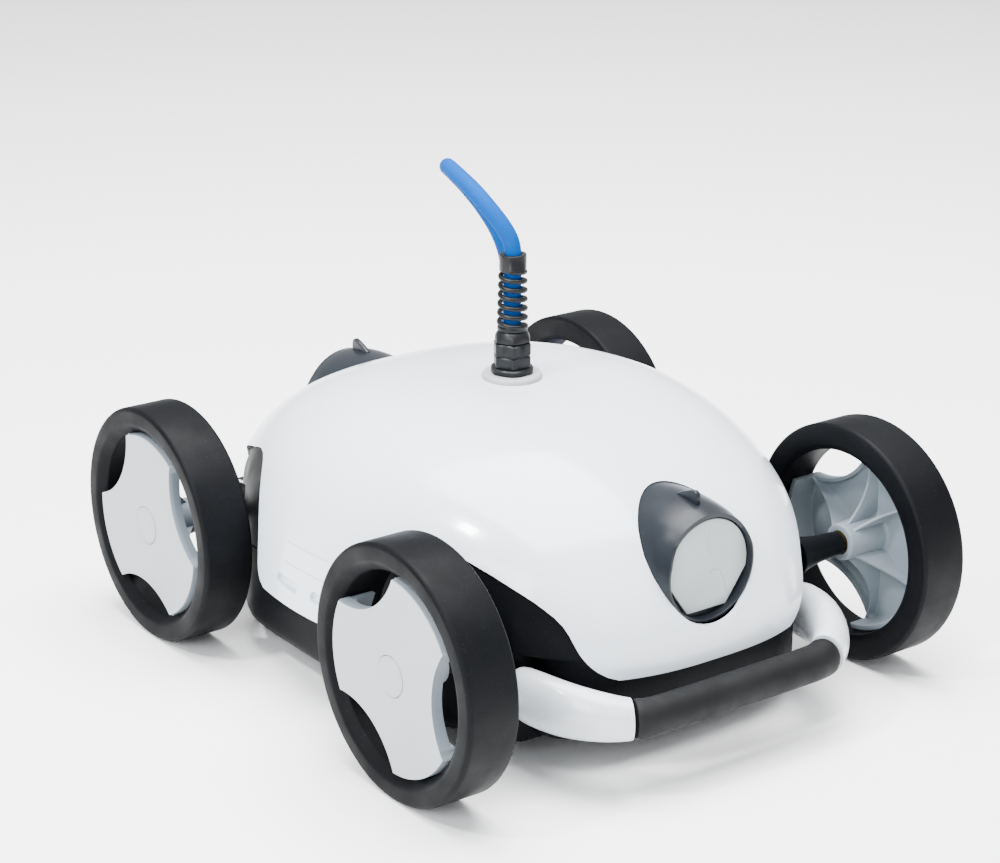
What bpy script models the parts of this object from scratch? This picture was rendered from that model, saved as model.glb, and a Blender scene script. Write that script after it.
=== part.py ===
"""Four-wheeled jet-driven pool cleaner with its floating cable.

World axes: X across the machine, -Y towards its front, +Z up, and the floor at Z = 0.
The two ends are alike, because the cleaner drives both ways.
"""

import math

import bmesh
import bpy
from mathutils import Matrix, Vector

MM = 0.001
GAP = 0.3 * MM  # air between touching pieces

# Wheels
WHEEL_RADIUS = 75 * MM
WHEEL_OUTER_X = 183.5 * MM
AXLE_Y = 136 * MM
AXLE_Z = WHEEL_RADIUS
TYRE_SEGMENTS = 32
HUB_PHASES = {"front_left": 60, "rear_left": 84, "front_right": 64, "rear_right": 70}

# Top shell: |x/a|^p + |y/b|^q = s, where s^k + ((z - z0)/c)^2 = 1
SHELL_HALF_WIDTH = 160 * MM
SHELL_HALF_LENGTH = 197 * MM
SHELL_HEIGHT = 112 * MM
SHELL_BASE_Z = 63 * MM
SHELL_EDGE_Z = 60 * MM
SHELL_WIDTH_POWER = 2.7
SHELL_LENGTH_POWER = 1.83
SHELL_RISE_POWER = 1.38
SHELL_WALL = 3 * MM

# Nozzles, on one level line through the middle
NOZZLE_Z = 112 * MM
HOOD_BACK_Y = 128 * MM
FLAP_RADIUS = 28.8 * MM
FLAP_HINGE_Z = NOZZLE_Z + FLAP_RADIUS

# Chassis
CHASSIS_BOTTOM_Z = 14 * MM
CHASSIS_WALL = 3 * MM
LID_HALF_X = 84 * MM
LID_HALF_Y = 119 * MM
LID_BOTTOM_Z = 9.8 * MM
DECK_Z = 58 * MM

# Cable, gland and connector
CABLE_RADIUS = 5.25 * MM
COIL_CENTRE = (208 * MM, 324 * MM)
COIL_MEAN_RADIUS = 75 * MM
COIL_TURNS_WIDE = 7
COIL_TURNS_HIGH = 3

# Cable route from the gland over the back of the machine to the coil, in mm
CABLE_ROUTE = [
    (0, 0, 205.6), (0, 0, 222), (0, 0, 238), (0, 0, 252),
    (-0.8, 1.2, 260), (-3, 4.2, 267), (-5.4, 8.5, 273), (-7.5, 13.8, 278.4),
    (-9, 21.5, 284), (-9.6, 31, 288.8), (-9, 41.5, 292), (-6, 54, 293.6),
    (-0.5, 66.5, 292.8), (9, 79.5, 288.5), (23, 91.5, 279.5), (40.5, 101.5, 265.5),
    (60, 109.5, 246), (77.5, 118, 224.5), (92.5, 129, 200), (104.5, 142, 172.5),
    (113, 157, 144), (117.5, 174.5, 115), (118.5, 195, 87.5), (116.8, 216, 62),
    (113, 235.5, 39.5), (108.3, 252, 21.5), (104, 264.5, 10.5), (101.5, 274.5, 6.2),
]

ENDS = (("front", -1), ("rear", 1))
SIDES = (("left", -1), ("right", 1))

COLOURS = {
    "white_plastic": ((0.86, 0.88, 0.90), 0.18, 0.0),
    "pale_plastic": ((0.66, 0.69, 0.70), 0.40, 0.0),
    "grey_plastic": ((0.10, 0.11, 0.13), 0.42, 0.0),
    "black_plastic": ((0.02, 0.02, 0.022), 0.45, 0.0),
    "tyre_rubber": ((0.025, 0.026, 0.03), 0.62, 0.0),
    "grip_rubber": ((0.022, 0.022, 0.024), 0.70, 0.0),
    "cable_jacket": ((0.02, 0.30, 0.85), 0.38, 0.0),
    "blue_plastic": ((0.10, 0.25, 0.55), 0.45, 0.0),
    "foam": ((0.75, 0.75, 0.70), 0.90, 0.0),
    "steel": ((0.62, 0.62, 0.64), 0.30, 1.0),
    "brass": ((0.72, 0.55, 0.25), 0.35, 1.0),
    "filter_mesh": ((0.80, 0.82, 0.84), 0.60, 0.0),
}


def clear_scene():
    for obj in list(bpy.data.objects):
        bpy.data.objects.remove(obj, do_unlink=True)


def make_materials():
    made = {}
    for name, (colour, roughness, metallic) in COLOURS.items():
        material = bpy.data.materials.new(name)
        material.use_nodes = True
        shader = material.node_tree.nodes["Principled BSDF"]
        shader.inputs["Base Color"].default_value = (*colour, 1.0)
        shader.inputs["Roughness"].default_value = roughness
        shader.inputs["Metallic"].default_value = metallic
        made[name] = material
    return made


clear_scene()
MATERIALS = make_materials()


def add_object(name, points, faces, material=None, origin=(0, 0, 0)):
    """A mesh object whose points are given in world space, with its origin where asked."""
    shift = Vector(origin)
    bm = bmesh.new()
    verts = [bm.verts.new(Vector(p) - shift) for p in points]
    for face in faces:
        bm.faces.new([verts[i] for i in face])
    if bm.calc_volume(signed=True) < 0:
        bmesh.ops.reverse_faces(bm, faces=bm.faces)
    mesh = bpy.data.meshes.new(name)
    bm.to_mesh(mesh)
    bm.free()
    obj = bpy.data.objects.new(name, mesh)
    obj.location = shift
    bpy.context.scene.collection.objects.link(obj)
    if material is None:
        obj.hide_render = True
        obj.display_type = "WIRE"
    else:
        mesh.materials.append(MATERIALS[material])
    return obj


def smooth(obj, angle=35):
    obj.data.shade_smooth()
    obj.data.set_sharp_from_angle(angle=math.radians(angle))
    return obj


def along_axis(axis, radius, height, angle, centre):
    """A point at a radius and angle round an axis through centre; height is the axis coordinate."""
    u = radius * math.cos(angle)
    v = radius * math.sin(angle)
    if axis == "X":
        return (height, centre[1] + u, centre[2] + v)
    if axis == "Y":
        return (centre[0] + u, height, centre[2] + v)
    return (centre[0] + u, centre[1] + v, height)


def turned(name, profile, axis, centre, material=None, segments=28, origin=None, phase=0.0):
    """A closed profile of (radius, height) pairs that stays off the axis, turned round it."""
    points = []
    faces = []
    count = len(profile)
    for s in range(segments):
        angle = 2 * math.pi * s / segments + phase
        points += [along_axis(axis, r, h, angle, centre) for r, h in profile]
    for s in range(segments):
        here = s * count
        after = ((s + 1) % segments) * count
        for i in range(count):
            j = (i + 1) % count
            faces.append((here + i, here + j, after + j, after + i))
    return smooth(add_object(name, points, faces, material, origin or centre))


def rod(name, stations, axis, centre, material=None, segments=20, origin=None, phase=0.0):
    """A solid round bar through (radius, height) stations, with flat ends."""
    points = []
    for r, h in stations:
        for s in range(segments):
            angle = 2 * math.pi * s / segments + phase
            points.append(along_axis(axis, r, h, angle, centre))
    faces = loft_faces(len(stations), segments)
    return smooth(add_object(name, points, faces, material, origin or centre))


def loft_faces(rings, count):
    faces = [tuple(reversed(range(count)))]
    for ring in range(rings - 1):
        for i in range(count):
            j = (i + 1) % count
            low = ring * count
            high = low + count
            faces.append((low + i, low + j, high + j, high + i))
    faces.append(tuple(range((rings - 1) * count, rings * count)))
    return faces


def prism(name, outline, axis, low, high, material=None, origin=(0, 0, 0)):
    """An outline in the plane across an axis, pushed from low to high along it."""
    def point(u, v, h):
        if axis == "X":
            return (h, u, v)
        if axis == "Y":
            return (u, h, v)
        return (u, v, h)

    points = [point(u, v, low) for u, v in outline]
    points += [point(u, v, high) for u, v in outline]
    return add_object(name, points, loft_faces(2, len(outline)), material, origin)


def box(name, low, high, material=None, origin=(0, 0, 0)):
    outline = [(low[0], low[1]), (high[0], low[1]), (high[0], high[1]), (low[0], high[1])]
    return prism(name, outline, "Z", low[2], high[2], material, origin)


def combine(obj, other, operation="DIFFERENCE"):
    modifier = obj.modifiers.new(operation.lower() + "_" + other.name, "BOOLEAN")
    modifier.operation = operation
    modifier.solver = "EXACT"
    modifier.object = other
    return obj


def mirrored_y(pairs, sign):
    return [(r, sign * h) for r, h in pairs]


# ---------------------------------------------------------------- top shell

def shell_ring(z, inset, count):
    """Plan outline of the shell at height z, moved inwards by inset."""
    rise = max(0.0, (z - SHELL_BASE_Z) / (SHELL_HEIGHT - inset))
    share = (1 - min(rise, 1.0) ** 2) ** (1 / SHELL_RISE_POWER)
    half_width = (SHELL_HALF_WIDTH - inset) * share ** (1 / SHELL_WIDTH_POWER)
    half_length = (SHELL_HALF_LENGTH - inset) * share ** (1 / SHELL_LENGTH_POWER)
    ring = []
    for i in range(count):
        angle = 2 * math.pi * (i + 0.5) / count
        c, s = math.cos(angle), math.sin(angle)
        x = math.copysign(abs(c) ** (2 / SHELL_WIDTH_POWER), c) * half_width
        y = math.copysign(abs(s) ** (2 / SHELL_LENGTH_POWER), s) * half_length
        ring.append((x, y, z))
    return ring


def make_dome(name, inset, base_z, material=None):
    """A closed dome from a flat base up to the crown."""
    count = 40
    heights = [base_z, SHELL_BASE_Z]
    top = SHELL_HEIGHT - inset
    heights += [SHELL_BASE_Z + top * math.sin(math.radians(a)) for a in (10, 21, 33, 45, 58, 70, 81)]
    points = []
    for z in heights:
        points += shell_ring(z, inset, count)
    points.append((0, 0, SHELL_BASE_Z + top))
    faces = [tuple(reversed(range(count)))]
    for ring in range(len(heights) - 1):
        for i in range(count):
            j = (i + 1) % count
            low = ring * count
            faces.append((low + i, low + j, low + count + j, low + count + i))
    last = (len(heights) - 1) * count
    crown = len(points) - 1
    faces += [(last + i, last + (i + 1) % count, crown) for i in range(count)]
    return add_object(name, points, faces, material)


# Wheel-arch outline in side view, from the foot of the side tongue to the nose, in mm
ARCH_OUTLINE = [
    (33, 50), (34, 59), (42, 61), (47, 67), (48.3, 77), (51, 89.4), (55, 98), (61, 107.3),
    (67.5, 115.7), (76, 123), (84, 127), (93, 127.3), (107, 122.8), (123, 118), (140, 110.8),
    (153.5, 104), (162.5, 97.3), (168, 92), (173, 84.3), (176.2, 77.6), (179, 71.8),
    (182, 66.2), (185, 61.5), (188, 59), (190, 50),
]


def hood_profile(grow=0.0):
    """Outer line of a nozzle hood as (radius, distance from the middle)."""
    line = [(36.5, 128), (36.5, 160), (35.6, 171), (33.6, 180), (31.2, 186.3)]
    return [(r * MM + grow, y * MM) for r, y in line]


def make_shell():
    shell = make_dome("top_shell", 0, SHELL_EDGE_Z, "white_plastic")
    combine(shell, make_dome("cut_shell_inside", SHELL_WALL, SHELL_EDGE_Z - 2 * MM))
    for end, sign in ENDS:
        outline = [(sign * y * MM, z * MM) for y, z in ARCH_OUTLINE]
        combine(shell, prism("cut_arch_" + end, outline, "X", -0.2, 0.2))
        stations = hood_profile(0.6 * MM)
        stations = [(stations[0][0], 0.11)] + stations + [(stations[-1][0], 0.21)]
        stations = mirrored_y(stations, sign)
        combine(shell, rod("cut_nozzle_" + end, stations, "Y", (0, 0, NOZZLE_Z), segments=28))
    hole = [(8.6 * MM, 0.16), (8.6 * MM, 0.19)]
    combine(shell, rod("cut_cable_hole", hole, "Z", (0, 0, 0)))
    smooth(shell, 30)


# ---------------------------------------------------------------- chassis

# Half the chassis along Y: distance from the middle, half width, bottom and top, in mm
CHASSIS_STATIONS = [
    (0, 139, 14, 108), (72, 136, 14, 108), (92, 130, 14, 108), (104, 120, 14, 108), (116, 112, 14, 108),
    (144.9, 112, 14, 108), (145.1, 90, 15, 108), (165, 84, 18, 94), (180, 66, 24, 74),
    (184, 58, 28, 69),
]
SHOULDER = 20
FOOT_ROUND = 10


def chassis_section(y, half_width, bottom, top):
    w, s, f = half_width, SHOULDER, FOOT_ROUND
    half = [(w - f, bottom), (w, bottom + f), (w, top - s), (w - 0.3 * s, top - 0.3 * s), (w - s, top)]
    loop = half + [(-x, z) for x, z in reversed(half)]
    return [(x * MM, y * MM, z * MM) for x, z in loop]


def chassis_space(y, half_width, bottom, top):
    """The room inside the chassis at one station, open at the top."""
    t = CHASSIS_WALL / MM
    w, s, f = half_width - t, SHOULDER, FOOT_ROUND - 1
    half = [(w - f, bottom + t), (w, bottom + t + f), (w, top - s), (w - s, top - t), (w - s, top + 20)]
    loop = half + [(-x, z) for x, z in reversed(half)]
    return [(x * MM, y * MM, z * MM) for x, z in loop]


def loft(name, sections, material=None):
    points = [p for section in sections for p in section]
    return add_object(name, points, loft_faces(len(sections), len(sections[0])), material)


def make_chassis():
    stations = [(-y, w, b, t) for y, w, b, t in reversed(CHASSIS_STATIONS[1:])] + CHASSIS_STATIONS
    tub = loft("chassis_tub", [chassis_section(*s) for s in stations], "black_plastic")
    wall = CHASSIS_WALL / MM
    inner = []
    for y, w, b, t in stations:
        moved = math.copysign(max(abs(y) - wall, 0.0), y) if abs(y) > 140 else y
        inner.append(chassis_space(moved, w, b, t))
    combine(tub, loft("cut_chassis_inside", inner))
    combine(tub, box("cut_lid_opening", (-0.078, -0.112, 0), (0.078, 0.112, 0.03)))
    for end, sign in ENDS:
        pivot = [(4.4 * MM, 0.005), (4.4 * MM, 0.03)]
        combine(tub, rod("cut_latch_" + end, pivot, "Z", (0, sign * 125 * MM, 0), segments=16))
    smooth(tub, 30)
    deck = box("pump_deck", (-0.100, -0.128, DECK_Z), (0.100, 0.128, DECK_Z + 3 * MM), "black_plastic")
    for end, sign in ENDS:
        y = sorted((sign * 66 * MM, sign * 112 * MM))
        combine(deck, box("cut_deck_" + end, (-0.03, y[0], 0.05), (0.03, y[1], 0.07)))


def make_filter():
    lid_top = CHASSIS_BOTTOM_Z - GAP
    lid = box("bottom_lid", (-LID_HALF_X, -LID_HALF_Y, LID_BOTTOM_Z), (LID_HALF_X, LID_HALF_Y, lid_top),
              "grey_plastic")
    outer = box("filter_tray", (-0.070, -0.104, lid_top + GAP), (0.070, 0.104, 0.055), "filter_mesh")
    combine(outer, box("cut_tray_inside", (-0.068, -0.102, lid_top + GAP + 2 * MM), (0.068, 0.102, 0.07)))
    for end, sign in ENDS:
        y = sorted((sign * 58 * MM, sign * 78 * MM))
        mouth = box("cut_mouth_" + end, (-0.052, y[0], 0), (0.052, y[1], 0.02))
        combine(lid, mouth)
        combine(outer, mouth)
        y = sorted((sign * 54 * MM, sign * 82 * MM))
        low = lid_top + 2 * GAP + 2 * MM
        box("intake_flap_" + end, (-0.058, y[0], low), (0.058, y[1], low + 1.6 * MM), "grey_plastic",
            origin=(0, sign * 54 * MM, low))
        # A turn latch: round shank in the chassis floor, finger turned aside from the lid at rest
        centre = (0, sign * 125 * MM, 0)
        shank = [(4 * MM, 6.5 * MM), (4 * MM, 18 * MM)]
        latch = rod("lid_latch_" + end, shank, "Z", centre, "grey_plastic", 14)
        x = sorted((sign * 5.5 * MM, -sign * 14 * MM))
        y = sorted((sign * 119.5 * MM, sign * 130.5 * MM))
        finger = box("part_finger_" + end, (x[0], y[0], 6 * MM), (x[1], y[1], 9.5 * MM))
        combine(latch, finger, "UNION")


# ---------------------------------------------------------------- pump and nozzles

def make_pump():
    axis = (0, 0, NOZZLE_Z)
    pod = [(3.4, -58), (20, -58), (28, -50), (28, 50), (20, 58), (3.4, 58)]
    turned("motor_pod", [(r * MM, y * MM) for r, y in pod], "Y", axis, "black_plastic", 24)
    rod("motor_shaft", [(3 * MM, -0.104), (3 * MM, 0.104)], "Y", axis, "steel", 12)
    cradle = box("motor_cradle", (-0.024, -0.030, DECK_Z + 3.3 * MM), (0.024, 0.030, 0.104), "black_plastic")
    combine(cradle, rod("cut_cradle", [(28.4 * MM, -0.05), (28.4 * MM, 0.05)], "Y", axis, segments=24))
    for side, sign in SIDES:
        x = sorted((sign * 48 * MM, sign * 88 * MM))
        box("float_block_" + side, (x[0], -0.095, DECK_Z + 3.3 * MM), (x[1], 0.095, 0.102), "foam")
    for end, sign in ENDS:
        duct = [(32.5, 66), (34.5, 66), (34.5, 127.4), (32.5, 127.4)]
        duct = mirrored_y([(r * MM, y * MM) for r, y in duct], sign)
        turned("thrust_duct_" + end, duct, "Y", axis, "black_plastic", 24)
        make_propeller("propeller_" + end, sign)
        make_nozzle(end, sign, axis)


def make_propeller(name, sign):
    axis = (0, 0, NOZZLE_Z)
    ring = mirrored_y([(3.3 * MM, 0.086), (8 * MM, 0.086), (8 * MM, 0.100), (3.3 * MM, 0.100)], sign)
    wheel = turned(name, ring, "Y", axis, "blue_plastic", 12)
    for k in range(3):
        turn = Matrix.Rotation(2 * math.pi * k / 3, 4, "Y")
        pitch = Matrix.Rotation(math.radians(35), 4, "X")
        corners = []
        for x in (6.5 * MM, 29 * MM):
            for u, v in ((-1, -7), (1, -7), (1, 7), (-1, 7)):
                corners.append(pitch @ Vector((x, u * MM, v * MM)))
        points = [turn @ p + Vector((0, sign * 0.093, NOZZLE_Z)) for p in corners]
        combine(wheel, add_object("part_blade_%s_%d" % (name, k), points, loft_faces(2, 4)), "UNION")


def make_nozzle(end, sign, axis):
    outer = hood_profile()
    inner = [(29.4, 186.3), (29.4, 183.2), (25, 183.2), (33, 166), (33, 128)]
    loop = mirrored_y(outer + [(r * MM, y * MM) for r, y in inner], sign)
    origin = (0, sign * HOOD_BACK_Y, NOZZLE_Z)
    hood = turned("nozzle_hood_" + end, loop, "Y", axis, "grey_plastic", 28, origin)
    # The pointer is a little fin on top of the hood
    fin = [(152, 147.5), (166, 153.5), (172, 155), (175, 148), (174, 142), (152, 142)]
    fin = [(sign * y * MM, z * MM) for y, z in fin]
    combine(hood, prism("part_pointer_" + end, fin, "X", -1.2 * MM, 1.2 * MM), "UNION")
    # The outlet flap is a disc with three straight cuts at its foot
    outline = []
    for degrees in range(-11, 192, 14):
        a = math.radians(degrees)
        outline.append((FLAP_RADIUS * math.cos(a), NOZZLE_Z + FLAP_RADIUS * math.sin(a)))
    outline += [(-14.2 * MM, NOZZLE_Z - 25 * MM), (14.2 * MM, NOZZLE_Z - 25 * MM)]
    y = sorted((sign * 183.6 * MM, sign * 186 * MM))
    prism("outlet_flap_" + end, outline, "Y", y[0], y[1], "pale_plastic", (0, sign * 0.186, FLAP_HINGE_Z))


# ---------------------------------------------------------------- wheels

def make_wheel(end, end_sign, side, side_sign):
    where = end + "_" + side
    centre = (0, end_sign * AXLE_Y, AXLE_Z)
    origin = (side_sign * WHEEL_OUTER_X, centre[1], centre[2])

    def outward(pairs):
        return [(r * MM, side_sign * x * MM) for r, x in pairs]

    # The tread's flats, not its corners, lie at the wheel's radius, so the wheel stands on a flat
    half_step = math.pi / TYRE_SEGMENTS
    tread = WHEEL_RADIUS / MM / math.cos(half_step)
    tyre = [(58.8, 152), (62, 150), (tread - 1.8, 150), (tread, 152), (tread, 181.3), (tread - 1.5, 183.5),
            (62.5, 183.5), (58.8, 179)]
    turned("tyre_" + where, outward(tyre), "X", centre, "tyre_rubber", TYRE_SEGMENTS, origin, half_step)
    hub = [(7.3, 152), (11, 152), (11, 179.3), (54.8, 179.3), (54.8, 160), (58, 160), (58, 182.8),
           (12.2, 182.8), (12.2, 180.4), (7.3, 180.4)]
    hub = turned("hub_" + where, outward(hub), "X", centre, "pale_plastic", 30, origin)
    for k in range(3):
        a = math.radians(HUB_PHASES[where] + 60 + 120 * k)
        cut_centre = (0, centre[1] - 90.3 * MM * math.cos(a), AXLE_Z + 90.3 * MM * math.sin(a))
        bar = outward([(51.3, 145), (51.3, 190)])
        combine(hub, rod("cut_hub_%s_%d" % (where, k), bar, "X", cut_centre, segments=28))
    bush = [(4.8, 151), (7, 151), (7, 172), (4.8, 172)]
    turned("wheel_bush_" + where, outward(bush), "X", centre, "brass", 18, origin)
    rod("wheel_cap_" + where, outward([(11.9, 180.8), (11.9, 183.2)]), "X", centre, "pale_plastic", 24, origin)
    arm = [(11, 112.3), (9.5, 118), (7.5, 132), (7, 149.5), (4.5, 149.5 + 0.02), (4.5, 176)]
    rod("axle_arm_" + where, outward(arm), "X", centre, "black_plastic", 16, (0, centre[1], centre[2]))


# ---------------------------------------------------------------- bumper bars

# Right-hand half of the front bar in mm: x, distance forward, height, half depth, half height
BUMPER_STATIONS = [
    (63.3, 213.5, 47, 10, 10.5), (70, 211, 47.2, 10.2, 11.3), (79, 205.5, 47.8, 10.6, 12.6),
    (88, 197, 48.5, 11, 14), (95.5, 187, 49.2, 11.3, 15.3), (101, 175.5, 49.8, 11.5, 16.2),
    (104, 163, 50, 11.3, 16.3), (104.5, 152, 50, 10.5, 15.3), (104, 147.2, 50, 8.5, 13), (104, 145.6, 50, 6, 10),
]


def bar_ring(station, before, after, sides=12):
    x, y, z, half_depth, half_height = station
    run = Vector((after[0] - before[0], after[1] - before[1], 0)).normalized()
    across = Vector((run.y, -run.x, 0))
    ring = []
    for i in range(sides):
        a = 2 * math.pi * i / sides
        p = Vector((x, y, z)) + across * half_depth * math.cos(a)
        ring.append(p + Vector((0, 0, half_height * math.sin(a))))
    return ring


def make_bumper(end, end_sign):
    last = len(BUMPER_STATIONS) - 1
    rings = []
    for i, station in enumerate(BUMPER_STATIONS):
        before = BUMPER_STATIONS[max(i - 1, 0)]
        after = BUMPER_STATIONS[min(i + 1, last)]
        if i == 0:
            before, after = (0, 213.5), (1, 213.5)
        rings.append(bar_ring(station, before, after))
    for side, side_sign in SIDES:
        points = [(side_sign * p.x * MM, end_sign * p.y * MM, p.z * MM) for ring in rings for p in ring]
        faces = loft_faces(len(rings), len(rings[0]))
        smooth(add_object("bumper_end_%s_%s" % (end, side), points, faces, "white_plastic"), 50)
    centre = (0, end_sign * 213.5 * MM, 47 * MM)
    grip = [(10.4 * MM, -63 * MM), (10.4 * MM, 63 * MM)]
    rod("bumper_grip_" + end, grip, "X", centre, "grip_rubber", 16, centre)


# ---------------------------------------------------------------- gland and cable

def make_gland():
    centre = (0, 0, 0)
    collar = [(8.6, 175.3), (18.5, 175.3), (18, 178), (8.6, 178)]
    turned("cable_collar", [(r * MM, z * MM) for r, z in collar], "Z", centre, "pale_plastic", 28)
    body = [(6, 160), (8.2, 160), (8.2, 178.3), (12.5, 178.3), (12.5, 182), (10.6, 182), (10.6, 197.7), (6, 197.7)]
    turned("gland_body", [(r * MM, z * MM) for r, z in body], "Z", centre, "black_plastic", 18)
    nut = [(5.7, 198), (10.6, 198), (10.6, 201.5), (8.8, 205), (5.7, 205)]
    turned("gland_nut", [(r * MM, z * MM) for r, z in nut], "Z", centre, "black_plastic", 18)
    seal = [(8.5, 167.6), (14, 167.6), (14, 170.6), (8.5, 170.6)]
    turned("gland_seal", [(r * MM, z * MM) for r, z in seal], "Z", centre, "grip_rubber", 18)
    locknut = [(9.8, 161.5), (14.5, 161.5), (14.5, 167.3), (9.8, 167.3)]
    turned("gland_locknut", [(r * MM, z * MM) for r, z in locknut], "Z", centre, "black_plastic", 6)
    relief = [(6.4, 205.3), (9.6, 205.3), (8.5, 242), (8.5, 253), (6.4, 253)]
    turned("strain_relief", [(r * MM, z * MM) for r, z in relief], "Z", centre, "black_plastic", 18)


def smooth_route(route, step):
    """Points every step along a Catmull-Rom curve through the route."""
    knots = [Vector(p) * MM for p in route]
    knots = [2 * knots[0] - knots[1]] + knots + [2 * knots[-1] - knots[-2]]
    fine = []
    for i in range(1, len(knots) - 2):
        a, b, c, d = knots[i - 1:i + 3]
        for j in range(20):
            t = j / 20
            fine.append(0.5 * (2 * b + (c - a) * t + (2 * a - 5 * b + 4 * c - d) * t * t
                               + (3 * b - a - 3 * c + d) * t ** 3))
    fine.append(knots[-2])
    length = sum((q - p).length for p, q in zip(fine, fine[1:]))
    count = max(2, round(length / step))
    picked = [fine[0]]
    walked = 0.0
    for p, q in zip(fine, fine[1:]):
        walked += (q - p).length
        if walked >= length * len(picked) / count and len(picked) < count:
            picked.append(q)
    picked.append(fine[-1])
    return picked


def make_cable():
    curve = bpy.data.curves.new("cable_tube", "CURVE")
    curve.dimensions = "3D"
    curve.bevel_depth = CABLE_RADIUS
    curve.bevel_resolution = 2
    curve.use_fill_caps = True
    points = smooth_route(CABLE_ROUTE, 5 * CABLE_RADIUS)
    spline = curve.splines.new("POLY")
    spline.points.add(len(points) - 1)
    for point, place in zip(spline.points, points):
        point.co = (*place, 1.0)
    curve.materials.append(MATERIALS["cable_jacket"])
    tube = bpy.data.objects.new("cable_tube", curve)
    bpy.context.scene.collection.objects.link(tube)

    half_width = COIL_TURNS_WIDE * CABLE_RADIUS
    top = GAP + COIL_TURNS_HIGH * 2 * CABLE_RADIUS
    inner = COIL_MEAN_RADIUS - half_width
    outer = COIL_MEAN_RADIUS + half_width
    ring = [(inner, GAP), (outer, GAP), (outer, top), (inner, top)]
    turned("cable_coil", ring, "Z", (*COIL_CENTRE, 0), "cable_jacket", 32)

    # The connector lies on the near side of the coil, with its cable entry towards +X
    lie = Matrix.Translation((COIL_CENTRE[0] - 38 * MM, COIL_CENTRE[1] - 56 * MM, top + GAP + 12 * MM))
    lie = lie @ Matrix.Rotation(math.pi, 4, "Z")
    plug = rod("cable_connector", [(8 * MM, -0.03), (10 * MM, -0.022), (10 * MM, 0.0), (12 * MM, 0.004),
                                   (12 * MM, 0.026)], "X", (0, 0, 0), "black_plastic", 16)
    plug.matrix_world = lie


make_shell()
make_chassis()
make_filter()
make_pump()
for end_name, end_side in ENDS:
    make_bumper(end_name, end_side)
    for side_name, side_side in SIDES:
        make_wheel(end_name, end_side, side_name, side_side)
make_gland()
make_cable()
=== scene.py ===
# %% [markdown]
# # A four-wheeled pool cleaner with its floating cable
# The machine drives along the pool floor on four big rubber tyres and pushes itself
# with a water jet from a nozzle at each end. A packed engineering model gives every
# size and every moving body. This script keeps that model as a fixed frame and
# builds the visible skins, rubber, cable and finishes around it, in metres.

import math

import bmesh
import bpy
from mathutils import Matrix, Vector


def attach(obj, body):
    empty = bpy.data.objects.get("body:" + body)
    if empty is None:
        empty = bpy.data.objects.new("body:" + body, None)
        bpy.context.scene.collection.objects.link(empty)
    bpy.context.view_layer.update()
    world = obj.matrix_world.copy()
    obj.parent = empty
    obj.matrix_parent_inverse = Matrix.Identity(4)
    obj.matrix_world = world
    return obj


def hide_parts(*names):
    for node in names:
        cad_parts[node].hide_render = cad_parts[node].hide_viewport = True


MM = 0.001
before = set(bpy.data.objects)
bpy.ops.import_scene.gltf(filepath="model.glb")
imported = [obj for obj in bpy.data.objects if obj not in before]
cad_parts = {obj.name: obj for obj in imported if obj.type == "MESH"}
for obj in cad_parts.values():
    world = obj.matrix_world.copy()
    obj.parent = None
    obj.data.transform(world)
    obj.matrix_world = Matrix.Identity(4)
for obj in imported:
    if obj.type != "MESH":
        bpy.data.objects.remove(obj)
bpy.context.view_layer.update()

# %% [markdown]
# ## Camera
# The camera stands to the front left of the machine and looks slightly down on it.
# It is set by its place and three turns.
# A long lens keeps the wheels from looking stretched.

# %% Place the camera
CAMERA_PLACE = (-0.88839, -1.18803, 0.66967)
azimuth, elevation, roll = (math.radians(a) for a in (-36.004, 19.84, 0.204))
back = Vector((math.sin(azimuth) * math.cos(elevation), -math.cos(azimuth) * math.cos(elevation),
               math.sin(elevation)))
level = Vector((0, 0, 1)).cross(back).normalized()
upright = back.cross(level)
right = level * math.cos(roll) + upright * math.sin(roll)
up = upright * math.cos(roll) - level * math.sin(roll)
lens = bpy.data.cameras.new("camera")
lens.sensor_width = 36
lens.lens = 92.10
lens.shift_x = 0.02146
lens.shift_y = 0.0071
camera = bpy.data.objects.new("camera", lens)
bpy.context.scene.collection.objects.link(camera)
camera.matrix_world = Matrix((
    (right.x, up.x, back.x, CAMERA_PLACE[0]),
    (right.y, up.y, back.y, CAMERA_PLACE[1]),
    (right.z, up.z, back.z, CAMERA_PLACE[2]),
    (0, 0, 0, 1),
))
bpy.context.scene.camera = camera
print("camera at", CAMERA_PLACE)

# %% [markdown]
# ## Finishes
# Moulded plastic and rubber are never one flat colour. Each finish here starts from
# a base colour and lets slow noise drift it a little, gives the gloss its own patches
# where hands and water have been, and raises a very fine grain with a bump. One
# helper builds that common part, and each finish asks for its own amounts.


# %% A helper for moulded finishes
def node(tree, kind, inputs=None, **settings):
    """One node with its settings and inputs; an input that is a socket is linked."""
    made = tree.nodes.new(kind)
    for key, value in settings.items():
        setattr(made, key, value)
    for key, value in (inputs or {}).items():
        if isinstance(value, bpy.types.NodeSocket):
            tree.links.new(value, made.inputs[key])
        else:
            made.inputs[key].default_value = value
    return made


def drift(tree, place, scale, low, high, detail=4.0):
    """A grey value that wanders between low and high, patch by patch."""
    cloud = node(tree, "ShaderNodeTexNoise", {"Vector": place, "Scale": scale, "Detail": detail})
    return node(tree, "ShaderNodeMapRange", {"Value": cloud.outputs["Fac"], "From Min": 0.3,
                                             "From Max": 0.7, "To Min": low, "To Max": high}).outputs[0]


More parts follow.
